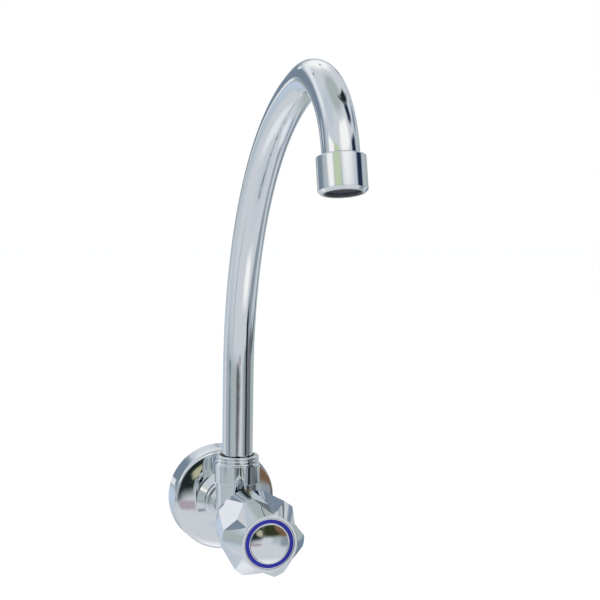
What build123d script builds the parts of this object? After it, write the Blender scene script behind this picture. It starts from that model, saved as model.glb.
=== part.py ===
from build123d import *
import math
import os

# Wall faucet, in millimetres. The wall is the plane Y = 0 and the user stands on the -Y side.
# The origin is where the inlet's axis meets the wall. +Z is up.
# "out" is a distance from the wall towards the user, "up" a height above the inlet's axis.

# ------------------------------------------------------------------ clearances
seat_gap = 0.05
running_gap = 0.05
sliding_gap = 0.1
free_gap = 0.3
end_gap = 0.6
overcut = 1.0
height_slack = 0.001

# ------------------------------------------------------------------ driving sizes
# Wall inlet, a G 1/2 outside thread
inlet_radius = 10.48
inlet_reach = 14.0
inlet_bore_radius = 6.5
inlet_chamfer = 1.0
inlet_relief_length = 4.0
inlet_relief_depth = 1.1

# Wall flange, a pressed cup
flange_radius = 33.4
flange_front_radius = 32.5
flange_depth = 18.5
flange_wall = 0.9
flange_edge_round = 2.4

# Body casting
skirt_radius = 19.0
skirt_rim = 1.8
skirt_slope_radius = 15.1
skirt_slope_length = 3.4
skirt_step = 0.4
skirt_ring_length = 2.7
skirt_ring_round = 1.7
barrel_radius = 12.8
front_collar_radius = 14.2
front_collar_length = 13.0
front_collar_chamfer = 0.7
body_front_out = 75.0
chamber_radius = 9.2
seat_out = 38.0
seat_lip_wall = 1.5
seat_lip_height = 1.2

# Upright spout boss on the body
spout_axis_out = 48.5
boss_shoulder_up = 18.7
boss_neck_radius = 11.85
boss_neck_length = 7.9
boss_neck_chamfer = 0.5
boss_bore_radius = 9.3

# Headwork that screws into the body's front
bonnet_thread_radius = 10.3
bonnet_nose_radius = 8.6
bonnet_hex_across = 24.0
bonnet_hex_length = 6.0
bonnet_hex_bevel = 0.8
bonnet_shoulder_wall = 1.1
bonnet_neck_radius = 8.4
bonnet_neck_length = 9.0
gasket_width = 1.5
gasket_thickness = 1.0

# Plunger, which slides as the spindle turns
plunger_travel = 4.0
plunger_disc_radius = 7.6
plunger_disc_thickness = 3.0
plunger_hex_across = 12.0
plunger_hex_length = 13.5
plunger_stem_radius = 3.9
stud_radius = 1.95
tap_washer_thickness = 3.5
tap_washer_round = 0.5
stud_nut_across = 6.6
stud_nut_thickness = 2.4

# Spindle, turned by the knob
spindle_barrel_radius = 6.55
spindle_end_wall = 1.4
spindle_stem_radius = 4.55
spindle_square = 7.0
spindle_square_length = 16.5
thrust_washer_radius = 7.5
thrust_washer_thickness = 0.8
circlip_radius = 6.2
circlip_thickness = 1.0
circlip_groove_depth = 0.8
circlip_gap_angle = 70.0

# O-rings on the spindle and on the spout's foot
o_ring_wire_radius = 0.72
o_ring_groove_width = 2.0

# Knob with six lobes
lobe_count = 6
lobe_angle = -6.8
knob_rear_out = 79.5
knob_rear_radius = 21.4
knob_rear_round = 2.6
lobe_tip_radius = 24.6
lobe_tip_half_width = 3.1
lobe_tip_out = 113.8
valley_radius = 20.0
notch_inner_radius = 17.1
bezel_radius = 16.5
bezel_wall = 1.55
bezel_front_out = 127.2
bezel_edge_round = 0.4
knob_cavity_radius = 17.0
knob_cavity_depth = 26.5
knob_web = 2.5
insert_radius = 6.5
hub_wall = 2.7
hub_length = 15.5
rib_thickness = 1.6

# Index ring and cap on the knob's front
ring_width = 3.15
ring_recess = 0.4
ring_thickness = 2.6
ring_edge_round = 0.3
cap_dome_height = 1.3
cap_skirt_radius = 8.95
cap_skirt_wall = 1.0
cap_skirt_length = 5.5

# Knob screw, M4 pan head
screw_radius = 2.0
screw_length = 15.0
screw_head_radius = 3.8
screw_head_height = 2.6
screw_head_round = 0.9
screw_slot_width = 1.0
screw_slot_depth = 1.2
screw_washer_radius = 4.6
screw_washer_thickness = 0.8

# Spout tube
tube_radius = 9.5
tube_wall = 1.0
tube_straight_up = 85.8
long_bend_radius = 180.5
long_bend_angle = 76.2
short_bend_radius = 50.9
short_bend_angle = 88.8
outlet_straight = 1.5

# Spout foot, a bush brazed to the tube, and the nut that holds it
foot_bottom_gap = 1.3
foot_bore_radius = 6.9
foot_shoulder_thickness = 2.6
foot_socket_floor = 1.2
foot_sleeve_wall = 1.0
foot_sleeve_length = 3.4
foot_groove_places = (0.28, 0.68)
seat_ring_thickness = 0.7
slip_ring_length = 3.7
nut_radius = 13.85
nut_lip = 2.1
nut_edge_round = 0.9
nut_bottom_chamfer = 0.3
nut_collar_radius = 13.35
nut_collar_length = 5.0
nut_groove_width = 1.0
nut_groove_depth = 0.4
nut_groove_drops = (2.0, 4.1)

# Outlet sleeve brazed to the tube's end, and the aerator that screws into it
sleeve_radius = 12.35
sleeve_length = 16.6
sleeve_top_round = 0.7
sleeve_stop = 1.0
tube_in_sleeve = 8.0
aerator_thread_radius = 11.15
aerator_rim = 1.6
aerator_rim_chamfer = 1.4
aerator_wall = 1.0
aerator_lip = 0.7
aerator_gasket_thickness = 1.8
breaker_wall = 1.1
breaker_plate_thickness = 1.2
breaker_hole_radius = 0.8
breaker_circle_radii = (3.4, 6.4)
breaker_hole_counts = (6, 12)
screen_thickness = 0.4
screen_rises = (1.4, 2.8)

# ------------------------------------------------------------------ sizes that follow
seat_floor_out = seat_out - seat_lip_height
collar_rear_out = body_front_out - front_collar_length
hex_rear_out = body_front_out + gasket_thickness
hex_front_out = hex_rear_out + bonnet_hex_length
neck_front_out = hex_front_out + bonnet_neck_length

washer_front_out = seat_out + tap_washer_thickness
disc_front_out = washer_front_out + plunger_disc_thickness
plunger_hex_out = disc_front_out + plunger_hex_length
nose_rear_out = disc_front_out + plunger_travel + end_gap
barrel_rear_out = plunger_hex_out + plunger_travel + end_gap
barrel_front_out = hex_front_out - bonnet_shoulder_wall
spindle_bore_out = barrel_front_out - spindle_end_wall
stem_front_out = spindle_bore_out - plunger_travel - end_gap

groove_depth = 2 * o_ring_wire_radius + seat_gap
circlip_bore_radius = spindle_stem_radius - circlip_groove_depth
circlip_rear_out = neck_front_out + thrust_washer_thickness + 2 * seat_gap
square_rear_out = circlip_rear_out + circlip_thickness + 2 * seat_gap
square_front_out = square_rear_out + spindle_square_length

web_rear_out = square_front_out + end_gap
web_front_out = web_rear_out + knob_web
hub_rear_out = web_rear_out - hub_length
hub_radius = insert_radius + hub_wall
cavity_front_out = knob_rear_out + knob_cavity_depth
ring_radius = bezel_radius - bezel_wall - running_gap
cap_radius = ring_radius - ring_width - running_gap
ring_front_out = bezel_front_out - ring_recess
ring_floor_out = ring_front_out - ring_thickness
screw_seat_out = web_front_out + screw_washer_thickness

boss_top_up = boss_shoulder_up + boss_neck_length
spigot_radius = boss_bore_radius - running_gap
foot_bottom_up = chamber_radius + foot_bottom_gap
foot_shoulder_up = boss_top_up + seat_ring_thickness + 2 * seat_gap
foot_sleeve_up = foot_shoulder_up + foot_shoulder_thickness
foot_sleeve_radius = tube_radius + running_gap + foot_sleeve_wall
tube_foot_up = foot_shoulder_up + foot_socket_floor
nut_bore_radius = boss_neck_radius + running_gap
foot_shoulder_radius = nut_bore_radius - 2 * free_gap
nut_lip_up = foot_sleeve_up + slip_ring_length + 2 * seat_gap
nut_top_up = nut_lip_up + nut_lip

# Down the aerator, from the outlet sleeve's top
gasket_start = tube_in_sleeve + sleeve_stop + seat_gap
aerator_start = gasket_start + aerator_gasket_thickness + seat_gap
rim_start = sleeve_length + seat_gap
aerator_end = rim_start + aerator_rim
aerator_bore_radius = aerator_thread_radius - aerator_wall
breaker_radius = aerator_bore_radius - sliding_gap
breaker_end = aerator_end - aerator_lip - seat_gap


# ------------------------------------------------------------------ shared shapes
def turned(*corners):
    """Solid of revolution about +Z from the (radius, height) corners of its outline."""
    return revolve(Plane.XZ * make_face(Polyline(*corners, close=True)), Axis.Z)


def tube(inner, outer, low, high):
    """Plain ring between two radii and two heights."""
    return turned((inner, low), (outer, low), (outer, high), (inner, high))


def rod(radius, low, high):
    """Plain cylinder between two heights."""
    return Pos(0, 0, low) * Cylinder(radius, high - low, align=(Align.CENTER, Align.CENTER, Align.MIN))


def bar(section, low, high):
    """Any flat section, drawn out between two heights."""
    return Pos(0, 0, low) * extrude(section, high - low)


def hexagon(across):
    """Hexagon measured across its flats."""
    return RegularPolygon(across / 2, 6, major_radius=False)


def ring_groove(radius, middle):
    """What an O-ring's groove takes out of a rod of this radius."""
    half = o_ring_groove_width / 2
    return tube(radius - groove_depth, radius + overcut, middle - half, middle + half)


def o_ring(radius, middle):
    """O-ring in the groove of a rod of this radius."""
    return Pos(0, 0, middle) * Torus(radius - groove_depth / 2, o_ring_wire_radius)


def on_body_axis(solid):
    """Lay an upright piece down, so that its +Z points out from the wall."""
    return Rot(90, 0, 0) * solid


def on_spout_axis(solid):
    return Pos(0, -spout_axis_out, 0) * solid


def outer_edge_at(solid, height):
    """Largest circular edge that lies at one height of an upright piece."""
    circles = solid.edges().filter_by(GeomType.CIRCLE)
    level = [edge for edge in circles if abs(edge.arc_center.Z - height) < height_slack]
    return max(level, key=lambda edge: edge.radius)


# ------------------------------------------------------------------ wall side
def wall_flange():
    """Pressed cup with a hole for the inlet, its open rim against the wall."""
    floor = flange_depth - flange_wall
    taper = (flange_radius - flange_front_radius) / flange_depth
    outside = turned((0, 0), (flange_radius, 0), (flange_front_radius, flange_depth), (0, flange_depth))
    outside = fillet(outer_edge_at(outside, flange_depth), flange_edge_round)
    rim = flange_radius - flange_wall
    inside = turned((0, -overcut), (rim + taper * overcut, -overcut), (rim - taper * floor, floor),
                    (0, floor))
    inside = fillet(outer_edge_at(inside, floor), flange_edge_round - flange_wall)
    return outside - inside - rod(inlet_radius + free_gap, 0, flange_depth + overcut)


def body_outside():
    """Inlet shank with a thread relief, skirt, barrel and front collar, as one turned form."""
    relief_radius = inlet_radius - inlet_relief_depth
    relief_out = flange_depth - inlet_relief_length
    skirt_front = flange_depth + skirt_rim
    slope_front = skirt_front + skirt_slope_length
    ring_outside = skirt_slope_radius - skirt_step
    ring_front = slope_front + skirt_ring_length
    form = turned(
        (0, -inlet_reach), (inlet_radius - inlet_chamfer, -inlet_reach),
        (inlet_radius, inlet_chamfer - inlet_reach), (inlet_radius, relief_out),
        (relief_radius, relief_out), (relief_radius, flange_depth),
        (skirt_radius, flange_depth), (skirt_radius, skirt_front),
        (skirt_slope_radius, slope_front), (ring_outside, slope_front),
        (ring_outside, ring_front), (barrel_radius, ring_front),
        (barrel_radius, collar_rear_out), (front_collar_radius, collar_rear_out),
        (front_collar_radius, body_front_out - front_collar_chamfer),
        (front_collar_radius - front_collar_chamfer, body_front_out), (0, body_front_out))
    return fillet(outer_edge_at(form, ring_front), skirt_ring_round)


def spout_boss():
    """Upright boss that takes the spout, with a neck for its nut's thread."""
    neck = rod(boss_neck_radius, 0, boss_top_up)
    neck = chamfer(outer_edge_at(neck, boss_top_up), boss_neck_chamfer)
    return on_spout_axis(rod(barrel_radius, 0, boss_shoulder_up) + neck)


def valve_body():
    """Body casting: the turned form and the boss, bored out, with the seat's lip left standing."""
    bores = rod(inlet_bore_radius, -inlet_reach - overcut, seat_out + overcut)
    bores += rod(chamber_radius, seat_floor_out, collar_rear_out + overcut)
    bores += rod(bonnet_thread_radius + sliding_gap, collar_rear_out, body_front_out + overcut)
    bores -= tube(inlet_bore_radius, inlet_bore_radius + seat_lip_wall, seat_floor_out, seat_out)
    upright_bore = on_spout_axis(rod(boss_bore_radius, 0, boss_top_up + overcut))
    return on_body_axis(body_outside()) + spout_boss() - on_body_axis(bores) - upright_bore


# ------------------------------------------------------------------ headwork
def bonnet_hexagon():
    """Hexagon with its front corners turned off."""
    flat = bonnet_hex_across / 2
    corner = flat / math.cos(math.pi / 6)
    blank = turned((0, hex_rear_out), (corner, hex_rear_out), (corner, hex_front_out - bonnet_hex_bevel),
                   (flat, hex_front_out), (0, hex_front_out))
    return bar(hexagon(bonnet_hex_across), hex_rear_out, hex_front_out) & blank


def bonnet():
    """Headwork body: a nose with a hexagonal guide, a thread, a hexagon to turn it by and a neck."""
    body = rod(bonnet_nose_radius, nose_rear_out, hex_rear_out)
    body += rod(bonnet_thread_radius, collar_rear_out + overcut, hex_rear_out)
    body += bonnet_hexagon() + rod(bonnet_neck_radius, hex_front_out, neck_front_out)
    body -= bar(hexagon(plunger_hex_across + 2 * sliding_gap), nose_rear_out - overcut, barrel_rear_out)
    body -= rod(spindle_barrel_radius + running_gap, barrel_rear_out, barrel_front_out + seat_gap)
    return body - rod(spindle_stem_radius + running_gap, barrel_front_out, neck_front_out + overcut)


def bonnet_gasket():
    inner = bonnet_thread_radius + sliding_gap
    return tube(inner, inner + gasket_width, body_front_out, hex_rear_out)


def spindle_groove_outs():
    """O-ring grooves at a third and two thirds of the spindle's barrel."""
    length = barrel_front_out - barrel_rear_out
    return [barrel_rear_out + length / 3, barrel_rear_out + length * 2 / 3]


def spindle():
    """Barrel with an inside thread for the plunger, a stem, and a square with its corners turned off."""
    body = rod(spindle_barrel_radius, barrel_rear_out + seat_gap, barrel_front_out)
    for middle in spindle_groove_outs():
        body -= ring_groove(spindle_barrel_radius, middle)
    stem = rod(spindle_stem_radius, barrel_front_out, square_front_out)
    body += stem - bar(Circle(2 * spindle_square) - Rectangle(spindle_square, spindle_square),
                       square_rear_out, square_front_out)
    body -= tube(circlip_bore_radius, spindle_stem_radius + overcut, circlip_rear_out - seat_gap,
                 circlip_rear_out + circlip_thickness + seat_gap)
    body -= rod(plunger_stem_radius + sliding_gap, barrel_rear_out, spindle_bore_out)
    return body - rod(screw_radius + running_gap, screw_seat_out - screw_length - end_gap, screw_seat_out)


def spindle_o_rings():
    return [o_ring(spindle_barrel_radius, middle) for middle in spindle_groove_outs()]


def spindle_washer():
    """Thrust washer between the bonnet's neck and the circlip."""
    rear = neck_front_out + seat_gap
    return tube(spindle_stem_radius + sliding_gap, thrust_washer_radius, rear, rear + thrust_washer_thickness)


def spindle_circlip():
    """Open spring ring in the spindle's groove."""
    front = circlip_rear_out + circlip_thickness
    ring = tube(circlip_bore_radius + running_gap, circlip_radius, circlip_rear_out, front)
    reach = circlip_radius + overcut
    half = reach * math.tan(math.radians(circlip_gap_angle / 2))
    wedge = make_face(Polyline((0, 0), (reach, half), (reach, -half), close=True))
    return ring - bar(wedge, circlip_rear_out - overcut, front + overcut)


def valve_plunger():
    """Stud, disc, hexagonal slide and threaded stem in one piece."""
    return (rod(stud_radius, seat_out - stud_nut_thickness - end_gap, washer_front_out)
            + rod(plunger_disc_radius, washer_front_out, disc_front_out)
            + bar(hexagon(plunger_hex_across), disc_front_out, plunger_hex_out)
            + rod(plunger_stem_radius, plunger_hex_out, stem_front_out))


def seat_washer():
    washer = tube(stud_radius + sliding_gap, plunger_disc_radius, seat_out, washer_front_out)
    return fillet(outer_edge_at(washer, seat_out), tap_washer_round)


def washer_nut():
    rear = seat_out - stud_nut_thickness
    return bar(hexagon(stud_nut_across), rear, seat_out) - rod(stud_radius + sliding_gap, rear, seat_out)


# ------------------------------------------------------------------ knob
def lobe_angles():
    return [lobe_angle + 360 / lobe_count * k for k in range(lobe_count)]


def valley_angles():
    return [angle + 180 / lobe_count for angle in lobe_angles()]


def lobe_corner():
    """Corner of a lobe's tip, as (radial, sideways) from the middle of the next valley."""
    turn = math.pi / lobe_count - math.asin(lobe_tip_half_width / lobe_tip_radius)
    return lobe_tip_radius * math.cos(turn), lobe_tip_radius * math.sin(turn)


def knob_blank():
    """Turned blank that widens to the lobe tips and slopes in to the bezel."""
    blank = turned((0, knob_rear_out), (knob_rear_radius, knob_rear_out), (lobe_tip_radius, lobe_tip_out),
                   (bezel_radius, bezel_front_out), (0, bezel_front_out))
    blank = fillet(outer_edge_at(blank, knob_rear_out), knob_rear_round)
    return fillet(outer_edge_at(blank, bezel_front_out), bezel_edge_round)


def side_valley():
    """Shallow V along the knob. Its two flat walls meet in the valley and pass the lobes' corners."""
    radial, sideways = lobe_corner()
    mouth_radial = valley_radius + 2 * (radial - valley_radius)
    mouth = Polyline((valley_radius, 0), (mouth_radial, 2 * sideways), (mouth_radial, -2 * sideways),
                     close=True)
    return bar(make_face(mouth), knob_rear_out - overcut, bezel_front_out)


def notch_slopes():
    """Rise of a front notch per millimetre inwards along its floor, and per millimetre sideways.

    Its floor runs from the valley's front end to the point where two lobes meet on the sloping front,
    and each of its two flat walls also holds the next lobe's corner.
    """
    radial, sideways = lobe_corner()
    front_slope = (bezel_front_out - lobe_tip_out) / (lobe_tip_radius - bezel_radius)
    rise = front_slope * (lobe_tip_radius - notch_inner_radius)
    inwards = rise / (valley_radius - notch_inner_radius)
    return inwards, inwards * (radial - valley_radius) / sideways


def front_notch():
    """Steep V between two lobes on the sloping front, drawn out along its floor."""
    inwards, sideways = notch_slopes()
    floor_run = math.hypot(1, inwards)
    half_width = lobe_tip_radius / 2
    wall_rise = sideways / floor_run * half_width
    outer_radius = lobe_tip_radius + overcut
    start = (outer_radius, 0, lobe_tip_out - (outer_radius - valley_radius) * inwards)
    plane = Plane(start, x_dir=(0, -1, 0), z_dir=(-1, 0, inwards))
    section = Polyline((0, 0), (half_width, wall_rise), (half_width, outer_radius),
                       (-half_width, outer_radius), (-half_width, wall_rise), close=True)
    return extrude(plane * make_face(section), outer_radius * floor_run)


def hub_with_ribs():
    """Hub for the insert, and a rib from it to the wall under each lobe."""
    hub = rod(hub_radius, hub_rear_out, cavity_front_out)
    reach = knob_cavity_radius - hub_radius
    rib = bar(Rectangle(reach + overcut, rib_thickness), hub_rear_out, cavity_front_out)
    for angle in lobe_angles():
        hub += Rot(0, 0, angle) * Pos(hub_radius + reach / 2, 0, 0) * rib
    return hub


def knob_bores():
    """Insert's socket, screw hole, cap's pocket and the index ring's recess, from the rear to the front."""
    bores = rod(insert_radius + running_gap, hub_rear_out, web_rear_out)
    bores += rod(screw_radius + sliding_gap, web_rear_out, web_front_out)
    bores += rod(cap_skirt_radius + running_gap, web_front_out, ring_floor_out)
    return bores + rod(ring_radius + running_gap, ring_floor_out, bezel_front_out)


def knob_shell():
    """Faceted shell with six lobes, a bezel, a rear cavity, and a ribbed hub."""
    shell = knob_blank()
    for angle in valley_angles():
        shell -= Rot(0, 0, angle) * side_valley()
        shell -= Rot(0, 0, angle) * front_notch()
    shell -= rod(knob_cavity_radius, knob_rear_out - overcut, cavity_front_out)
    return shell + hub_with_ribs() - knob_bores()


def knob_insert():
    """Bush with a square hole, pressed into the knob's hub."""
    side = spindle_square + 2 * running_gap
    bush = rod(insert_radius, hub_rear_out, web_rear_out)
    return bush - bar(Rectangle(side, side), hub_rear_out, web_rear_out)


def index_ring():
    ring = tube(ring_radius - ring_width, ring_radius, ring_floor_out, ring_front_out)
    return fillet(outer_edge_at(ring, ring_front_out), ring_edge_round)


def index_cap():
    """Bare domed button with a skirt that snaps into the knob."""
    dome_radius = (cap_radius ** 2 + cap_dome_height ** 2) / (2 * cap_dome_height)
    top = ring_front_out + cap_dome_height
    button = rod(cap_radius, ring_floor_out, top) & Pos(0, 0, top - dome_radius) * Sphere(dome_radius)
    return button + tube(cap_skirt_radius - cap_skirt_wall, cap_skirt_radius,
                         ring_floor_out - cap_skirt_length, ring_floor_out)


def knob_screw():
    """Pan-head screw with a driver slot."""
    top = screw_seat_out + screw_head_height
    head = fillet(outer_edge_at(rod(screw_head_radius, screw_seat_out, top), top), screw_head_round)
    slot = bar(Rectangle(2 * screw_head_radius, screw_slot_width), top - screw_slot_depth, top)
    return head + rod(screw_radius, screw_seat_out - screw_length, screw_seat_out) - slot


def screw_washer():
    return tube(screw_radius + sliding_gap, screw_washer_radius, web_front_out, screw_seat_out)


# ------------------------------------------------------------------ spout
spout_plane = Plane((0, -spout_axis_out, 0), x_dir=(0, -1, 0), z_dir=(-1, 0, 0))


def spout_route():
    """Straight riser, long bend, short bend and straight outlet, in place."""
    riser = Line((0, tube_foot_up), (0, tube_straight_up))
    long_bend = JernArc(riser @ 1, riser % 1, long_bend_radius, -long_bend_angle)
    short_bend = JernArc(long_bend @ 1, long_bend % 1, short_bend_radius, -short_bend_angle)
    end = short_bend @ 1 + (short_bend % 1) * (outlet_straight + tube_in_sleeve)
    return [spout_plane * run for run in (riser, long_bend, short_bend, Line(short_bend @ 1, end))]


def spout_tube():
    """Bent tube, one ring swept along the whole route."""
    route = spout_route()
    ring = Circle(tube_radius) - Circle(tube_radius - tube_wall)
    return sweep(Plane(route[0] @ 0, z_dir=route[0] % 0) * ring, Wire(route))


def outlet_place():
    """Place at the outlet sleeve's top, with +Z the way the water goes."""
    outlet = spout_route()[-1]
    top = outlet @ 0 + (outlet % 0) * outlet_straight
    return Plane(top, x_dir=(1, 0, 0), z_dir=outlet % 0).location


def foot_groove_ups():
    length = foot_shoulder_up - foot_bottom_up
    return [foot_bottom_up + length * place for place in foot_groove_places]


def spout_foot():
    """Bush with two O-ring grooves and a shoulder, and a socket for the tube."""
    top = foot_sleeve_up + foot_sleeve_length
    body = rod(spigot_radius, foot_bottom_up, foot_shoulder_up)
    for middle in foot_groove_ups():
        body -= ring_groove(spigot_radius, middle)
    body += rod(foot_shoulder_radius, foot_shoulder_up, foot_sleeve_up)
    body += rod(foot_sleeve_radius, foot_sleeve_up, top)
    body -= rod(foot_bore_radius, foot_bottom_up, top)
    return body - rod(tube_radius + running_gap, tube_foot_up, top)


def spout_o_rings():
    return [o_ring(spigot_radius, middle) for middle in foot_groove_ups()]


def spout_seat_ring():
    """Plastic ring between the boss and the foot's shoulder."""
    bottom = boss_top_up + seat_gap
    return tube(boss_bore_radius, foot_shoulder_radius, bottom, bottom + seat_ring_thickness)


def spout_slip_ring():
    """Plastic ring between the foot's shoulder and the nut's lip."""
    bottom = foot_sleeve_up + seat_gap
    return tube(foot_sleeve_radius + sliding_gap, nut_bore_radius - sliding_gap, bottom,
                bottom + slip_ring_length)


def spout_nut():
    """Union nut with an inward lip, and a narrower collar with two turned grooves at its top."""
    bottom = boss_shoulder_up + free_gap
    collar_bottom = nut_top_up - nut_collar_length
    nut = rod(nut_radius, bottom, collar_bottom)
    nut = chamfer(outer_edge_at(nut, bottom), nut_bottom_chamfer)
    nut = chamfer(outer_edge_at(nut, collar_bottom), nut_radius - nut_collar_radius)
    nut += rod(nut_collar_radius, collar_bottom, nut_top_up)
    nut = fillet(outer_edge_at(nut, nut_top_up), nut_edge_round)
    for drop in nut_groove_drops:
        middle = nut_top_up - drop
        nut -= turned((nut_collar_radius - nut_groove_depth, middle),
                      (nut_collar_radius, middle - nut_groove_width / 2),
                      (nut_collar_radius + overcut, middle),
                      (nut_collar_radius, middle + nut_groove_width / 2))
    nut -= rod(nut_bore_radius, bottom, nut_lip_up)
    return nut - rod(foot_sleeve_radius + free_gap, bottom, nut_top_up)


# ------------------------------------------------------------------ outlet, with +Z the way the water goes
def outlet_sleeve():
    """Chromed sleeve brazed to the tube, with a stop for its end and a thread for the aerator."""
    sleeve = rod(sleeve_radius, 0, sleeve_length)
    sleeve = fillet(outer_edge_at(sleeve, 0), sleeve_top_round)
    sleeve -= rod(tube_radius + running_gap, 0, tube_in_sleeve)
    sleeve -= rod(tube_radius - tube_wall, tube_in_sleeve, sleeve_length)
    return sleeve - rod(aerator_thread_radius + running_gap, tube_in_sleeve + sleeve_stop, sleeve_length)


def aerator_gasket():
    return tube(tube_radius - tube_wall, aerator_thread_radius - sliding_gap, gasket_start,
                gasket_start + aerator_gasket_thickness)


def aerator_housing():
    """Aerator's outside: a thread, a rim as wide as the sleeve, and an inward lip at the mouth."""
    housing = rod(sleeve_radius, rim_start, aerator_end)
    housing = chamfer(outer_edge_at(housing, aerator_end), aerator_rim_chamfer)
    housing += rod(aerator_thread_radius, aerator_start, rim_start)
    housing -= rod(aerator_bore_radius, aerator_start, aerator_end - aerator_lip)
    return housing - rod(breaker_radius - breaker_wall / 2, aerator_start, aerator_end)


def aerator_insert():
    """Jet breaker: a cup whose top plate has rings of small holes."""
    body = rod(breaker_radius, aerator_start, breaker_end)
    body -= rod(breaker_radius - breaker_wall, aerator_start + breaker_plate_thickness, breaker_end)
    for circle_radius, count in zip(breaker_circle_radii, breaker_hole_counts):
        holes = PolarLocations(circle_radius, count) * Circle(breaker_hole_radius)
        body -= [bar(hole, aerator_start, aerator_start + breaker_plate_thickness) for hole in holes]
    return body


def aerator_screens():
    """Wire-mesh discs inside the jet breaker, as plain discs."""
    radius = breaker_radius - breaker_wall - running_gap
    starts = [breaker_end - rise for rise in screen_rises]
    return [rod(radius, start, start + screen_thickness) for start in starts]


# ------------------------------------------------------------------ nodes
def placed(pieces, place):
    """Put each piece's solid, or its group of solids, in place, under the piece's name."""
    shapes = {}
    for piece in pieces:
        made = piece()
        many = isinstance(made, list)
        shapes[piece.__name__] = Compound(children=[place(one) for one in made]) if many else place(made)
    return shapes


def nodes():
    """Every node's name and its shape."""
    on_outlet = outlet_place()
    return {
        **placed([valve_body, spout_tube], lambda solid: solid),
        **placed([wall_flange, bonnet, bonnet_gasket, spindle, spindle_o_rings, spindle_washer,
                  spindle_circlip, valve_plunger, seat_washer, washer_nut, knob_shell, knob_insert,
                  index_ring, index_cap, knob_screw, screw_washer], on_body_axis),
        **placed([spout_foot, spout_o_rings, spout_seat_ring, spout_slip_ring, spout_nut], on_spout_axis),
        **placed([outlet_sleeve, aerator_gasket, aerator_housing, aerator_insert, aerator_screens],
                 lambda solid: on_outlet * solid),
    }


os.makedirs("parts", exist_ok=True)
for name, shape in nodes().items():
    export_step(shape, f"parts/{name}.step")
    print(name, round(sum(solid.volume for solid in shape.solids())))
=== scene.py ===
import math

import bpy
from mathutils import Matrix, Vector


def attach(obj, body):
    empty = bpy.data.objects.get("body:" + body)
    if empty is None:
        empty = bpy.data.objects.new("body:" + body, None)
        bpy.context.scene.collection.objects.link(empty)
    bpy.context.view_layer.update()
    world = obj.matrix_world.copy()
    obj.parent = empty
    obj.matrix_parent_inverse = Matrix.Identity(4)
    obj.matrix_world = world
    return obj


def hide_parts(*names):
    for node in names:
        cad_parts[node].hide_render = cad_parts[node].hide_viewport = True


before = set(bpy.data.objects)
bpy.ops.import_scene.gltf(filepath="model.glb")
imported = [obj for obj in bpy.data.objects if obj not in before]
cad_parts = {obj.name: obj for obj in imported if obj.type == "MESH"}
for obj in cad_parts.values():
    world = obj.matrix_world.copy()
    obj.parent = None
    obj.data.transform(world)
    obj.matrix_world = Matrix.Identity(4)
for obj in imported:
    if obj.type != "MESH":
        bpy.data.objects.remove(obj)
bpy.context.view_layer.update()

# Metres, in the row frame: the wall is Y = 0, the user stands on the -Y side, +Z is up. Sizes of the mesh
# pieces are written in millimetres and multiplied by MM.
MM = 0.001


# ------------------------------------------------------------------ node helpers
class Tree:
    """Short ways to add and wire nodes in a material, a world or a node group."""

    def __init__(self, owner):
        if isinstance(owner, bpy.types.NodeTree):
            self.tree = owner
        else:
            owner.use_nodes = True
            self.tree = owner.node_tree
        self.tree.nodes.clear()

    def add(self, kind, **settings):
        node = self.tree.nodes.new("ShaderNode" + kind)
        for key, value in settings.items():
            setattr(node, key, value)
        return node

    def put(self, socket, value):
        """Wire an output into a socket, or set its constant."""
        if isinstance(value, bpy.types.NodeSocket):
            self.tree.links.new(value, socket)
        else:
            socket.default_value = value

    def math(self, operation, *values):
        node = self.add("Math", operation=operation)
        for socket, value in zip(node.inputs, values):
            self.put(socket, value)
        return node.outputs[0]

    def ramp(self, value, low, high, to_low=0.0, to_high=1.0, smooth=True):
        """Map a value from low..high to to_low..to_high, held at both ends."""
        node = self.add("MapRange", interpolation_type="SMOOTHSTEP" if smooth else "LINEAR")
        for name, number in (("Value", value), ("From Min", low), ("From Max", high),
                             ("To Min", to_low), ("To Max", to_high)):
            self.put(node.inputs[name], number)
        return node.outputs["Result"]

    def mix(self, factor, first, second):
        """Mix two colours; 6, 7 and 2 are the node's colour sockets."""
        node = self.add("Mix", data_type="RGBA")
        self.put(node.inputs[0], factor)
        self.put(node.inputs[6], first)
        self.put(node.inputs[7], second)
        return node.outputs[2]

    def vector(self, operation, first, second):
        """Vector Math node on an output and an output or constant."""
        node = self.add("VectorMath", operation=operation)
        self.put(node.inputs[0], first)
        self.put(node.inputs[1], second)
        return node.outputs["Value" if operation == "DOT_PRODUCT" else "Vector"]

    def blend_shaders(self, factor, first, second):
        node = self.add("MixShader")
        for socket, value in zip(node.inputs, (factor, first, second)):
            self.put(socket, value)
        return node.outputs[0]

    def mirror_ray(self):
        """1 where a ray comes from a mirror or through glass, else 0."""
        path = self.add("LightPath")
        return self.math("MAXIMUM", path.outputs["Is Glossy Ray"], path.outputs["Is Transmission Ray"])

    def surface(self, shader):
        self.put(self.add("OutputMaterial").inputs["Surface"], shader)

    def noise(self, vector, scale, detail=2.0):
        node = self.add("TexNoise")
        self.put(node.inputs["Vector"], vector)
        self.put(node.inputs["Scale"], scale)
        self.put(node.inputs["Detail"], detail)
        return node.outputs[0]


def rgb(red, green, blue):
    """Scene-linear colour from the 0-255 values seen on a screen."""
    def linear(value):
        value /= 255
        return value / 12.92 if value <= 0.04045 else ((value + 0.055) / 1.055) ** 2.4
    return (linear(red), linear(green), linear(blue), 1.0)


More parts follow.
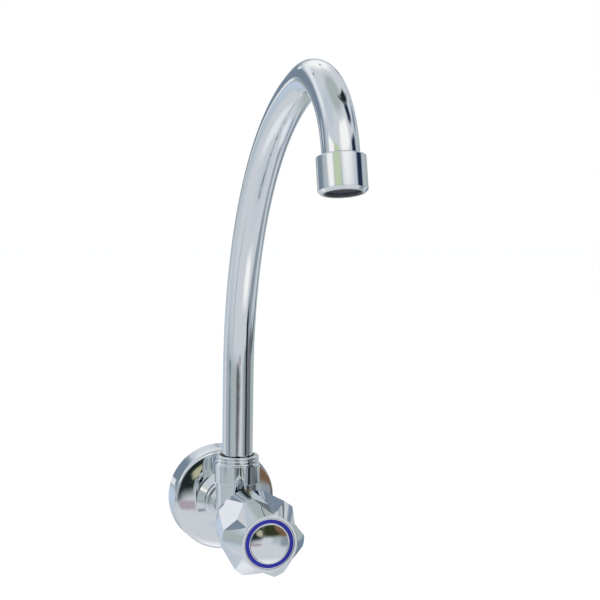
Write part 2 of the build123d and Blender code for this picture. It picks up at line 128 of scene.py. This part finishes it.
# ------------------------------------------------------------------ world
# Paints of the made-up room that the chrome reflects, as 0-255 screen values.
WHITE = (250, 250, 250)
PALE = (230, 235, 240)
HAZE = (205, 210, 215)
SILVER = (190, 200, 210)
GREY = (170, 180, 180)
BLUE_GREY = (150, 160, 180)
SLATE = (120, 135, 150)
STEEL = (140, 150, 160)
SHADE = (110, 115, 120)
CHARCOAL = (80, 90, 95)
NIGHT = (30, 40, 40)
NAVY = (30, 45, 70)
LEAF = (190, 205, 175)
STONE = (180, 180, 150)
BARK = (120, 95, 75)
SKY = (190, 205, 225)
ROSE = (170, 160, 170)
MOSS = (50, 55, 35)

# Directions are seen from the tap, in degrees: azimuth 0 is straight out from the wall and grows to the
# user's right, elevation 0 is level.
# Bands from straight down to straight up: (elevation, paint).
LEVELS = [
    (-90, SILVER),
    (-60, HAZE),
    (-30, HAZE),
    (-18, SILVER),
    (-10, GREY),
    (4, GREY),
    (20, SILVER),
    (31, HAZE),
    (60, HAZE),
    (72, GREY),
    (90, GREY),
]
# Soft patches over them: (azimuth, elevation, half width, half height, tilt, softness, paint).
ROOM = [
    # low half
    (-30, -28, 40, 12, 0, 0.5, HAZE),
    (-150, -52, 24, 9, 0, 0.5, PALE),
    (78, -34, 34, 10, -15, 0.5, STEEL),
    (124, -47, 16, 5, -10, 0.6, STEEL),
    (141, -37, 10, 4, 0, 0.5, BLUE_GREY),
    (148, -53, 14, 6, 0, 0.5, PALE),
    (140, -20, 18, 6, 0, 0.5, SLATE),
    (168, -24, 14, 14, 0, 0.5, GREY),
    (166, -9, 10, 5, 0, 0.5, SKY),
    (-166, -11, 16, 5, 0, 0.5, SKY),
    (-72, -33, 16, 2, 55, 0.9, STEEL),
    (14, -46, 20, 10, 0, 0.6, WHITE),
    (15, -24, 25, 8, 0, 0.4, HAZE),
    # upright streaks just below eye level
    (-128, -9, 16, 6, 0, 0.4, HAZE),
    (-108, -9, 4, 5, 0, 0.5, BLUE_GREY),
    (-66, -8, 26, 4.5, 0, 0.4, GREY),
    (-79, -11, 10, 1.5, 0, 0.4, SLATE),
    (-18, -9, 11, 4.5, 0, 0.45, SHADE),
    (7, -12, 12, 6, 0, 0.4, HAZE),
    (36, -13, 7, 6, -5, 0.5, STEEL),
    (50, -16, 8, 15, -10, 0.3, NIGHT),
    (75, -12, 17, 8, 0, 0.35, SHADE),
    (104, -14, 20, 1.5, 0, 0.4, CHARCOAL),
    # band at eye level
    (-76, 7, 12, 6, 15, 0.5, SLATE),
    (-54, 9, 16, 10, 0, 0.5, GREY),
    (-34, 11, 14, 12, 0, 0.5, STEEL),
    (-20, 12, 8, 13, 20, 0.4, CHARCOAL),
    (-6, 4, 12, 14, 0, 0.25, NIGHT),
    (20, 2, 16, 8, 0, 0.35, MOSS),
    (2, -1, 3, 4, 30, 0.4, STONE),
    (26, 4, 3, 5, 20, 0.4, BARK),
    (-4, -15, 8, 2, 0, 0.4, ROSE),
    (37, -1, 10, 6, 0, 0.35, BARK),
    (66, 1, 30, 8, 0, 0.35, BARK),
    (-152, 8, 36, 11, 0, 0.3, SLATE),
    (-170, 17, 3, 2.6, 0, 0.3, PALE),
    (-160.5, -1.3, 3.6, 2.6, 0, 0.3, PALE),
    (-136, 6.4, 3.6, 2.8, 0, 0.3, HAZE),
    (164, 4, 10, 5, 0, 0.5, SILVER),
    # above
    (-76, 20, 17, 5, 5, 0.35, WHITE),
    (-42, 25, 19, 4, 0, 0.35, LEAF),
    (-140, 29, 30, 6, 0, 0.4, PALE),
    (-90, 50, 30, 14, 0, 0.6, SILVER),
    (-158, 46, 34, 11, 0, 0.6, HAZE),
    (172, 38, 22, 14, 0, 0.5, WHITE),
    (16, 41, 33, 15, 0, 0.3, WHITE),
    (82, 45, 14, 9.5, -20, 0.4, NAVY),
    (98, 54, 19, 7.5, -35, 0.35, NIGHT),
    (76, 67, 12, 5, -50, 0.4, MOSS),
    (111, 22, 11, 5, 0, 0.5, SLATE),
    (74, 19, 15, 8, -10, 0.35, NAVY),
    (139, 36, 13, 8, 0, 0.6, HAZE),
    # small fittings, which show in the knob's facets
    (-150, 36, 2.5, 2.2, 0, 0.3, SLATE),
    (170, 17, 2.5, 2.2, 0, 0.3, SLATE),
    (171, 42.6, 2.5, 2.2, 0, 0.3, SLATE),
    (148, 20.5, 2.5, 2.2, 0, 0.3, SHADE),
    (116, 36.5, 2.5, 2.2, 0, 0.3, SHADE),
]
# The patches are worked out belt by belt, between these elevations: one shader can't hold them all.
BELTS = [-90, -22, -7, 12, 32, 90]
# The patches' edges waver by up to half of this many degrees, along azimuth and elevation.
WAVER_ACROSS, WAVER_UP = 6.0, 2.0
WAVER_SCALE = 6.0
# A belt also takes the patches that come this near to it, in degrees.
BELT_MARGIN = 3
# What lights dull surfaces evenly.
EVEN_LIGHT = rgb(205, 208, 214)


def patch_group():
    """Node group that lays one soft-edged, tilted patch of paint over a colour.

    A patch is a superellipse of power 4, and its edge fades from Inner to Outer times its reach.
    """
    group = bpy.data.node_groups.new("room_patch", "ShaderNodeTree")
    inputs = {"Spot": "Vector", "Middle": "Vector", "Lean": "Vector", "Reach": "Vector",
              "Inner": "Float", "Outer": "Float", "Under": "Color", "Paint": "Color"}
    for name, kind in inputs.items():
        group.interface.new_socket(name=name, in_out="INPUT", socket_type="NodeSocket" + kind)
    group.interface.new_socket(name="Colour", in_out="OUTPUT", socket_type="NodeSocketColor")
    t = Tree(group)
    given = group.nodes.new("NodeGroupInput").outputs
    local = t.add("Mapping", vector_type="TEXTURE")
    for socket, name in zip(local.inputs, ("Spot", "Middle", "Lean", "Reach")):
        t.put(socket, given[name])
    square = t.vector("MULTIPLY", local.outputs[0], local.outputs[0])
    fourth = t.vector("MULTIPLY", square, square)
    away = t.math("POWER", t.vector("DOT_PRODUCT", fourth, (1, 1, 0)), 0.25)
    cover = t.ramp(away, given["Inner"], given["Outer"], 1.0, 0.0)
    t.put(group.nodes.new("NodeGroupOutput").inputs["Colour"], t.mix(cover, given["Under"], given["Paint"]))
    return group


def room_belt(t, group, spot, elevation, lowest, highest):
    """Background for one belt of the room, with every patch that reaches into it."""
    colour = rgb(*LEVELS[0][1])
    for (low, _), (high, paint) in zip(LEVELS, LEVELS[1:]):
        colour = t.mix(t.ramp(elevation, low, high, smooth=False), colour, rgb(*paint))
    for middle, height, half_width, half_height, tilt, soft, paint in ROOM:
        slope = abs(math.sin(math.radians(tilt)))
        reach = (half_height + half_width * slope) * (1 + soft) + BELT_MARGIN
        if height + reach < lowest or height - reach > highest:
            continue
        # A patch near azimuth 180 is laid once more on the other side of the join.
        for turn in (0, 360, -360):
            if abs(middle + turn) - max(half_width, half_height) * (1 + soft) > 180:
                continue
            patch = t.add("Group", node_tree=group)
            given = {"Spot": spot, "Middle": (middle + turn, height, 0), "Lean": (0, 0, math.radians(tilt)),
                     "Reach": (half_width, half_height, 1), "Inner": 1.0 - soft, "Outer": 1.0 + soft,
                     "Under": colour, "Paint": rgb(*paint)}
            for name, value in given.items():
                t.put(patch.inputs[name], value)
            colour = patch.outputs[0]
    background = t.add("Background")
    t.put(background.inputs["Color"], colour)
    return background.outputs[0]


def room(t):
    """The room in the direction that a reflected ray leaves."""
    direction = t.add("TexCoord").outputs["Generated"]
    split = t.add("SeparateXYZ")
    t.put(split.inputs[0], direction)
    x, y, z = split.outputs
    waver = t.math("SUBTRACT", t.noise(direction, WAVER_SCALE, 3.0), 0.5)
    azimuth = t.math("MULTIPLY", t.math("ARCTAN2", x, t.math("MULTIPLY", y, -1.0)), 180 / math.pi)
    elevation = t.math("MULTIPLY", t.math("ARCSINE", z), 180 / math.pi)
    spot = t.add("CombineXYZ")
    t.put(spot.inputs[0], t.math("MULTIPLY_ADD", waver, WAVER_ACROSS, azimuth))
    t.put(spot.inputs[1], t.math("MULTIPLY_ADD", waver, WAVER_UP, elevation))
    group = patch_group()
    shader = room_belt(t, group, spot.outputs[0], elevation, BELTS[0], BELTS[1])
    for lowest, highest in zip(BELTS[1:], BELTS[2:]):
        belt = room_belt(t, group, spot.outputs[0], elevation, lowest, highest)
        shader = t.blend_shaders(t.math("GREATER_THAN", elevation, lowest), shader, belt)
    return shader


def build_world():
    """White behind the tap, an even pale light for dull surfaces, and the room for mirrors and glass."""
    world = bpy.data.worlds.new("studio_room")
    bpy.context.scene.world = world
    t = Tree(world)
    camera_ray = t.add("LightPath").outputs["Is Camera Ray"]
    even = t.add("Background")
    t.put(even.inputs["Color"], t.mix(camera_ray, EVEN_LIGHT, (1.0, 1.0, 1.0, 1.0)))
    shader = t.blend_shaders(t.mirror_ray(), even.outputs[0], room(t))
    t.put(t.add("OutputWorld").inputs["Surface"], shader)


# ------------------------------------------------------------------ materials
PLATE_TINT = (0.93, 0.94, 0.955)
PLATE_DULLED = 0.965
PLATE_ROUGH = 0.05
# Scales of the plating's clouds, smears and waves, and how much its waves show.
CLOUDS, SMEARS, WAVES = 60.0, 220.0, 45.0
WAVE_STRENGTH = 0.004
# Scales of the broad and the fine lines along a drawn tube, their stretch along it, and their depth
# in metres.
BROAD_LINES, FINE_LINES = 13.0, 55.0
LINES_STRETCH = (1.0, 0.45, 1.0)
LINES_DEPTH = 0.00004
# A hollow piece's surface faces its axis where position times normal, in metres, is under this.
FACES_AXIS = -0.001
CASTING, CASTING_DARK = rgb(150, 151, 154), rgb(128, 129, 133)
CASTING_ROUGH, CASTING_METAL = 0.55, 0.15


def facing_inwards(t):
    """1 where a surface faces the Y axis of its object, else 0."""
    spot = t.add("TexCoord")
    across = t.vector("MULTIPLY", spot.outputs["Normal"], (1, 0, 1))
    return t.math("LESS_THAN", t.vector("DOT_PRODUCT", across, spot.outputs["Object"]), FACES_AXIS)


def chrome(name, drawn=False, hollow=False):
    """Polished plating: slightly uneven shine and faint waves.

    A drawn tube has faint lines along it, and a hollow piece is bare casting where it faces the Y axis.
    """
    material = bpy.data.materials.new(name)
    t = Tree(material)
    place = t.add("TexCoord").outputs["UV" if drawn else "Object"]
    shader = t.add("BsdfPrincipled")
    shader.inputs["Metallic"].default_value = 1.0
    cloud = t.ramp(t.noise(place, CLOUDS, 3.0), 0.35, 0.7)
    colour = t.mix(cloud, (*PLATE_TINT, 1.0), (*(value * PLATE_DULLED for value in PLATE_TINT), 1.0))
    polish = t.ramp(t.noise(place, SMEARS, 4.0), 0.3, 0.75, PLATE_ROUGH * 0.7, PLATE_ROUGH * 1.6)
    if hollow:
        inside = facing_inwards(t)
        colour = t.mix(inside, colour, t.mix(cloud, CASTING, CASTING_DARK))
        polish = t.ramp(inside, 0.0, 1.0, polish, CASTING_ROUGH, smooth=False)
        t.put(shader.inputs["Metallic"], t.ramp(inside, 0.0, 1.0, 1.0, CASTING_METAL, smooth=False))
    t.put(shader.inputs["Base Color"], colour)
    t.put(shader.inputs["Roughness"], polish)
    # The lines of a drawn tube are grooves, not ridges.
    bump = t.add("Bump", invert=drawn)
    if drawn:
        stretched = t.vector("MULTIPLY", place, LINES_STRETCH)
        broad, fine = t.noise(stretched, BROAD_LINES, 1.0), t.noise(stretched, FINE_LINES, 2.0)
        strength, distance, height = 1.0, LINES_DEPTH, t.math("MULTIPLY_ADD", fine, 0.22, broad)
    else:
        strength, distance, height = WAVE_STRENGTH, MM, t.noise(place, WAVES, 1.0)
    bump.inputs["Strength"].default_value = strength
    bump.inputs["Distance"].default_value = distance
    t.put(bump.inputs["Height"], height)
    t.put(shader.inputs["Normal"], bump.outputs[0])
    t.surface(shader.outputs[0])
    return material


def plain(name, colour, rough, metal=0.0, coat=0.0, grain=0.0):
    """Metal, plastic or rubber with slightly uneven colour and shine, and a grain if asked for."""
    material = bpy.data.materials.new(name)
    t = Tree(material)
    place = t.add("TexCoord").outputs["Object"]
    shader = t.add("BsdfPrincipled")
    shader.inputs["Metallic"].default_value = metal
    shader.inputs["Coat Weight"].default_value = coat
    cloud = t.noise(place, 90.0, 3.0)
    dark = (*(value * 0.85 for value in colour[:3]), 1.0)
    t.put(shader.inputs["Base Color"], t.mix(t.ramp(cloud, 0.35, 0.7), colour, dark))
    t.put(shader.inputs["Roughness"], t.ramp(cloud, 0.3, 0.7, rough * 0.85, rough * 1.2))
    if grain:
        bump = t.add("Bump")
        bump.inputs["Strength"].default_value = grain
        bump.inputs["Distance"].default_value = 0.0003
        t.put(bump.inputs["Height"], t.noise(place, 1500.0, 2.0))
        t.put(shader.inputs["Normal"], bump.outputs[0])
    t.surface(shader.outputs[0])
    return material


def dress(name, material):
    """Give a CAD node its material."""
    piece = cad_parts[name]
    piece.data.materials.clear()
    piece.data.materials.append(material)
    for polygon in piece.data.polygons:
        polygon.material_index = 0


brass = plain("brass", rgb(190, 155, 95), 0.25, metal=1.0)
rubber = plain("rubber", rgb(28, 28, 30), 0.6, grain=0.2)
white_plastic = plain("white_plastic", rgb(222, 221, 214), 0.4)
steel = plain("steel", rgb(190, 192, 196), 0.25, metal=1.0)
mesh_wire = plain("mesh_wire", rgb(118, 116, 128), 0.45, metal=1.0)

# Each CAD node's record slot and material.
LOOKS = {
    "wall_flange": ("chrome_flange", chrome("chrome_flange")),
    "valve_body": ("chrome_body", chrome("chrome_body")),
    "spout_nut": ("chrome_nut", chrome("chrome_nut")),
    "spout_tube": ("chrome_spout", chrome("chrome_spout")),
    "aerator_housing": ("chrome_aerator", chrome("chrome_aerator")),
    "knob_shell": ("chrome_knob", chrome("chrome_knob", hollow=True)),
    "index_cap": ("chrome_cap", chrome("chrome_cap")),
    "outlet_sleeve": ("chrome_outlet", chrome("chrome_outlet")),
    "bonnet": ("chrome_bonnet", chrome("chrome_bonnet")),
    "index_ring": ("blue_ring", plain("blue_ring", rgb(26, 28, 158), 0.35, coat=0.15)),
    "spout_foot": ("brass_foot", brass),
    "spindle": ("brass_spindle", brass),
    "valve_plunger": ("brass_plunger", brass),
    "washer_nut": ("brass_nut", brass),
    "spout_o_rings": ("rubber_rings", rubber),
    "spindle_o_rings": ("rubber_rings", rubber),
    "aerator_gasket": ("rubber_gasket", rubber),
    "seat_washer": ("rubber_washer", rubber),
    "spout_slip_ring": ("plastic_rings", white_plastic),
    "spout_seat_ring": ("plastic_rings", white_plastic),
    "knob_insert": ("plastic_insert", white_plastic),
    "spindle_washer": ("thrust_washer", white_plastic),
    "aerator_insert": ("plastic_breaker", plain("plastic_breaker", rgb(92, 90, 100), 0.5)),
    "aerator_screens": ("steel_mesh", mesh_wire),
    "spindle_circlip": ("steel_clip", steel),
    "knob_screw": ("steel_screw", steel),
    "screw_washer": ("steel_screw", steel),
    "bonnet_gasket": ("fibre_gasket", plain("fibre", rgb(150, 80, 60), 0.8)),
}
for name, (slot, material) in LOOKS.items():
    dress(name, material)


# ------------------------------------------------------------------ mesh pieces
# Local +Z to straight out from the wall, and to the way the water goes at the outlet.
OUT = Matrix(((1, 0, 0), (0, 0, -1), (0, 1, 0))).to_4x4()
OUTLET_TILT = math.radians(15)
OUTLET = (Matrix.Translation((0, -0.24765, 0.22338))
          @ Matrix(((1, 0, 0), (0, math.cos(OUTLET_TILT), -math.sin(OUTLET_TILT)),
                    (0, -math.sin(OUTLET_TILT), -math.cos(OUTLET_TILT)))).to_4x4())


def piece(name, points, faces, body, material, slot, sharp=35):
    """New object from points in metres that rides on a body."""
    mesh = bpy.data.meshes.new(name)
    mesh.from_pydata([tuple(point) for point in points], [], faces)
    mesh.validate()
    mesh.shade_smooth()
    mesh.set_sharp_from_angle(angle=math.radians(sharp))
    mesh.materials.append(material)
    made = bpy.data.objects.new(name, mesh)
    bpy.context.scene.collection.objects.link(made)
    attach(made, body)
    return made


def arc(centre, radius, start, end, steps):
    """Points on an arc in an outline, angles in degrees from the outward radius."""
    turns = [math.radians(start + (end - start) * i / steps) for i in range(steps + 1)]
    return [(centre[0] + radius * math.cos(turn), centre[1] + radius * math.sin(turn)) for turn in turns]


def flipped(faces):
    """The same faces, seen from their other side."""
    return [(face[0], *face[:0:-1]) for face in faces]


def turned(outline, place, segments=128, closed=True):
    """Points and faces of a (radius, height) outline in millimetres, turned about local +Z.

    An open outline gets end discs. The faces look outwards, whichever way the outline runs.
    """
    points, faces = [], []
    count = len(outline)
    for step in range(segments):
        angle = 2 * math.pi * step / segments
        for radius, height in outline:
            spot = Vector((radius * math.cos(angle), radius * math.sin(angle), height))
            points.append(place @ (spot * MM))
        for i in range(count if closed else count - 1):
            j, following = (i + 1) % count, (step + 1) % segments
            faces.append((step * count + i, step * count + j, following * count + j, following * count + i))
    if not closed:
        faces.append(tuple(step * count for step in range(segments)))
        faces.append(tuple(step * count + count - 1 for step in reversed(range(segments))))
    area = sum(radius * after[1] - after[0] * height
               for (radius, height), after in zip(outline, outline[1:] + outline[:1]))
    return points, flipped(faces) if area * place.determinant() > 0 else faces


def band(first, second, around):
    """Quads between two rings of points, each given by its first index."""
    faces = []
    for step in range(around):
        following = (step + 1) % around
        faces.append((first + step, first + following, second + following, second + step))
    return faces


def flange():
    """Pressed cup with a rolled rim and a gently domed front."""
    sheet, hole = 0.9, 10.78
    rim = arc((30.2, 14.4), 2.4, 2, 80, 10)
    inner_rim = arc((30.35, 14.4), 1.5, 80, 2, 8)
    dome = [(30.0, 16.92), (28.0, 17.27), (26.0, 17.59), (24.0, 17.88), (22.0, 18.13), (20.4, 18.31),
            (19.2, 18.42)]
    inner_dome = [(radius, out - sheet) for radius, out in reversed(dome)]
    outside = [(33.3, 0.05), (33.15, 3.0), (32.9, 8.0)] + rim + dome + [(17.0, 18.45), (hole, 18.45)]
    inside = [(hole, 17.6), (17.0, 17.55)] + inner_dome + inner_rim
    inside += [(32.2, 8.0), (32.4, 3.0), (32.5, 0.0)]
    points, faces = turned(outside + inside, OUT)
    made = piece("domed_flange", points, faces, "tap_body", LOOKS["wall_flange"][1], "chrome_flange", 50)
    made.data.materials.append(plain("pressed_brass", rgb(196, 172, 122), 0.34, metal=1.0, grain=0.15))
    # Bare brass from the hole's wall to the edge that stands on the wall, which is plated.
    count, bare = len(outside + inside), len(outside) - 1
    for index, polygon in enumerate(made.data.polygons):
        if bare <= index % count < count - 1:
            polygon.material_index = 1
    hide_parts("wall_flange")


def threaded_body():
    """The body with a rounded pipe thread cut into its inlet."""
    crest, depth, pitch, low, high = 10.48, 1.1, 1.814, -13.0, 14.5
    around, rows = 72, 120
    # How near to that cylinder the CAD's faces must be to give way to the thread.
    near, margin = 0.03, 0.1
    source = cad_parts["valve_body"].data
    points = [vertex.co.copy() for vertex in source.vertices]
    faces = []
    for polygon in source.polygons:
        corners = [points[i] / MM for i in polygon.vertices]
        shank = all(abs(math.hypot(p.x, p.z) - crest) < near and low - margin < -p.y < high + margin
                    for p in corners)
        if not shank:
            faces.append(tuple(polygon.vertices))
    start = len(points)
    for row in range(rows + 1):
        out = low + (high - low) * row / rows
        fade = min(1, (out - low) / pitch, (high - out) / pitch)
        for step in range(around):
            turn = step / around
            groove = 0.5 - 0.5 * math.cos(2 * math.pi * (out / pitch - turn))
            radius, angle = crest - depth * fade * groove, 2 * math.pi * turn
            points.append(Vector((radius * math.cos(angle), -out, radius * math.sin(angle))) * MM)
    for row in range(rows):
        faces += band(start + row * around, start + (row + 1) * around, around)
    made = piece("threaded_body", points, faces, "tap_body", LOOKS["valve_body"][1], "chrome_body", 30)
    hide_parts("valve_body")


def wire(across, level, along, phase, pitch, thick, reach):
    """Points and faces of one wavy wire of a woven disc, along local X or else Y; its rim hides the ends."""
    half = math.sqrt(max(reach ** 2 - across ** 2, 0.01))
    steps = max(2, round(4 * half / pitch))
    points, faces = [], []
    for i in range(steps + 1):
        run = -half + 2 * half * i / steps
        lift = thick * math.cos(math.pi * (run / pitch + phase))
        for dx, dz in ((1, 0), (0, 1), (-1, 0), (0, -1)):
            side, height = across + dx * thick, level + lift + dz * thick
            points.append(OUTLET @ (Vector((run, side, height) if along else (side, run, height)) * MM))
        if i:
            faces += band(4 * (i - 1), 4 * i, 4)
    return points, flipped(faces) if along else faces


def woven_screens():
    """Two discs of plain-woven wire, each in a pressed rim."""
    # The gap between wires, a wire's radius and the mesh's, and half the rim's height.
    pitch, thick, reach, rim = 0.9, 0.13, 8.6, 0.28
    points, faces = [], []

    def take(more, sides):
        shift = len(points)
        points.extend(more)
        faces.extend(tuple(shift + i for i in side) for side in sides)

    for level in (16.3, 14.9):
        for along in (0, 1):
            line = -math.floor(reach / pitch)
            while line * pitch < reach:
                take(*wire(line * pitch, level, along, line + along, pitch, thick, reach))
                line += 1
        low, high = level - rim, level + rim
        take(*turned([(8.4, low), (8.9, low), (8.9, high), (8.4, high)], OUTLET, 64))
    made = piece("woven_screens", points, faces, "spout", LOOKS["aerator_screens"][1], "steel_mesh")
    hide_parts("aerator_screens")


def seam():
    """Bead of braze where the tube enters the outlet sleeve."""
    braze = plain("braze", rgb(176, 178, 188), 0.3, metal=1.0)
    bead = [(9.4, -0.75), (9.55, -0.4), (9.75, -0.18), (10.0, -0.04), (10.35, 0.0), (10.35, 0.1),
            (9.4, 0.1)]
    points, faces = turned(bead, OUTLET, 96)
    piece("outlet_seam", points, faces, "spout", braze, "chrome_outlet")


def tube():
    """The bent tube, swept finely: riser, long bend, short bend and the end in the sleeve."""
    middle, radius, wall, around = 48.5, 9.44, 1.0, 96
    foot, knee, riser = 28.6, 57.0, 85.8
    # Radius, angle in degrees and steps of each bend, then the lengths of the straight end.
    bends = ((180.5, 76.2, 44), (50.9, 88.8, 50))
    ends = (0.0, 4.0, 9.5)
    # Distance out from the wall, height and lean from upright, along the tube's middle.
    stops = [(middle, foot, 0.0), (middle, knee, 0.0)]
    out, up, turn = middle, riser, 0.0
    for bend, angle, steps in bends:
        for step in range(steps + 1):
            lean = turn + math.radians(angle) * step / steps
            stops.append((out + bend * (math.cos(turn) - math.cos(lean)),
                          up + bend * (math.sin(lean) - math.sin(turn)), lean))
        out, up, turn = stops.pop()
    for length in ends:
        stops.append((out + length * math.sin(turn), up + length * math.cos(turn), turn))
    # Each point's turn about the tube and way along it, in turns of its outside.
    points, spots = [], []
    for shell in (radius, radius - wall):
        run, before = 0.0, stops[0]
        for out, up, lean in stops:
            run += math.hypot(out - before[0], up - before[1])
            before = (out, up, lean)
            for step in range(around):
                angle = 2 * math.pi * step / around
                side, away = shell * math.sin(angle), shell * math.cos(angle)
                spot = Vector((side, away * math.cos(lean) - out, up + away * math.sin(lean)))
                points.append(spot * MM)
                spots.append((step / around, run / (2 * math.pi * radius)))
    # Up the outside, over the far end, back down the inside and over the near end.
    rows = len(stops)
    rings = [row * around for row in (*range(rows), *reversed(range(rows, 2 * rows)))]
    faces = []
    for here, there in zip(rings, rings[1:] + rings[:1]):
        faces += flipped(band(here, there, around))
    lined = chrome("chrome_tube", drawn=True)
    made = piece("drawn_tube", points, faces, "spout", lined, "chrome_spout", 40)
    layer = made.data.uv_layers.new(name="along")
    for polygon in made.data.polygons:
        corners = [spots[i] for i in polygon.vertices]
        far = max(turn for turn, run in corners) > 0.6
        for loop, (turn, run) in zip(polygon.loop_indices, corners):
            layer.data[loop].uv = (turn + 1 if far and turn < 0.3 else turn, run)
    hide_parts("spout_tube")


def button():
    """Finely domed button with a beaded edge, and the enamel ring in its own bright lip."""
    # The dome's height, curve, first and last radius and steps, and how far out its back is.
    top, curve, hub, edge, steps = 128.05, 53.2, 0.2, 11.2, 28
    back = 125.6
    dome = []
    for step in range(steps + 1):
        radius = hub + (edge - hub) * step / steps
        dome.append((radius, top - curve + math.sqrt(curve ** 2 - radius ** 2)))
    bead = arc((11.68, 126.72), 0.42, 150, 0, 12)
    points, faces = turned(dome + bead + [(11.7, 126.4), (11.6, back), (hub, back)], OUT, closed=False)
    made = piece("domed_button", points, faces, "handle", LOOKS["index_cap"][1], "chrome_cap", 40)
    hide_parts("index_cap")
    crown = [(11.75, back), (11.75, 126.66), (12.4, 126.76), (13.2, 126.79), (13.9, 126.76),
             (14.85, 126.62), (14.85, back)]
    points, faces = turned(crown, OUT)
    made = piece("enamel_ring", points, faces, "handle", LOOKS["index_ring"][1], "blue_ring")
    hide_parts("index_ring")
    points, faces = turned(arc((14.55, 126.72), 0.38, -20, 200, 12), OUT)
    piece("ring_lip", points, faces, "handle", LOOKS["index_cap"][1], "chrome_knob")


flange()
threaded_body()
tube()
seam()
woven_screens()
button()


# ------------------------------------------------------------------ studio
def build_floor():
    """A pale floor well under the tap; mirrors look through it at the room's own pale floor."""
    half, level, paint, glow_to_camera = 6.0, -0.30, (0.8, 0.8, 0.81, 1.0), 0.5
    mesh = bpy.data.meshes.new("floor")
    corners = [(-half, -half, level), (half, -half, level), (half, half, level), (-half, half, level)]
    mesh.from_pydata(corners, [], [(0, 1, 2, 3)])
    floor = bpy.data.objects.new("floor", mesh)
    bpy.context.scene.collection.objects.link(floor)
    material = bpy.data.materials.new("floor_paint")
    t = Tree(material)
    diffuse = t.add("BsdfDiffuse")
    diffuse.inputs["Color"].default_value = paint
    glow = t.add("Emission")
    glow.inputs["Color"].default_value = (1.0, 1.0, 1.0, 1.0)
    camera_ray = t.add("LightPath").outputs["Is Camera Ray"]
    t.put(glow.inputs["Strength"], t.math("MULTIPLY", camera_ray, glow_to_camera))
    lit = t.add("AddShader")
    t.put(lit.inputs[0], diffuse.outputs[0])
    t.put(lit.inputs[1], glow.outputs[0])
    clear = t.add("BsdfTransparent").outputs[0]
    t.surface(t.blend_shaders(t.mirror_ray(), lit.outputs[0], clear))
    mesh.materials.append(material)


def area_lamp(name, place, aim, width, height, power):
    """Soft lamp in metres and watts that mirrors don't show."""
    data = bpy.data.lights.new(name, "AREA")
    data.shape = "RECTANGLE"
    data.size, data.size_y = width, height
    data.energy = power
    lamp = bpy.data.objects.new(name, data)
    lamp.location = place
    lamp.rotation_mode = "QUATERNION"
    lamp.rotation_quaternion = (Vector(aim) - Vector(place)).to_track_quat("-Z", "Y")
    lamp.visible_glossy = False
    bpy.context.scene.collection.objects.link(lamp)


build_world()
build_floor()
MIDDLE_OF_PART = (0.0, -0.12, 0.11)
area_lamp("key", (0.4, -1.3, 1.4), MIDDLE_OF_PART, 0.9, 0.9, 12)
area_lamp("fill", (-1.4, -0.7, 0.7), MIDDLE_OF_PART, 0.8, 1.2, 5)

scene = bpy.context.scene
scene.view_settings.view_transform = "Standard"


# ------------------------------------------------------------------ camera
def build_camera():
    """Camera fitted to the photo's outlines."""
    focal_pixels, photo_width = 1549.35, 600
    place = Vector((-0.228448, -0.962420, 0.235873))
    yaw, pitch, roll = (math.radians(value) for value in (-16.299, -6.271, 0.894))
    turn = Matrix.Rotation(yaw, 3, "Z")
    forward = turn @ Vector((0, math.cos(pitch), math.sin(pitch)))
    level = turn @ Vector((1, 0, 0))
    upright = level.cross(forward)
    right = math.cos(roll) * level + math.sin(roll) * upright
    up = -math.sin(roll) * level + math.cos(roll) * upright
    data = bpy.data.cameras.new("camera")
    data.sensor_width = 36.0
    data.lens = focal_pixels * data.sensor_width / photo_width
    camera = bpy.data.objects.new("camera", data)
    bpy.context.scene.collection.objects.link(camera)
    rotation = Matrix((right, up, -forward)).transposed()
    camera.matrix_world = Matrix.Translation(place) @ rotation.to_4x4()
    scene.camera = camera


build_camera()
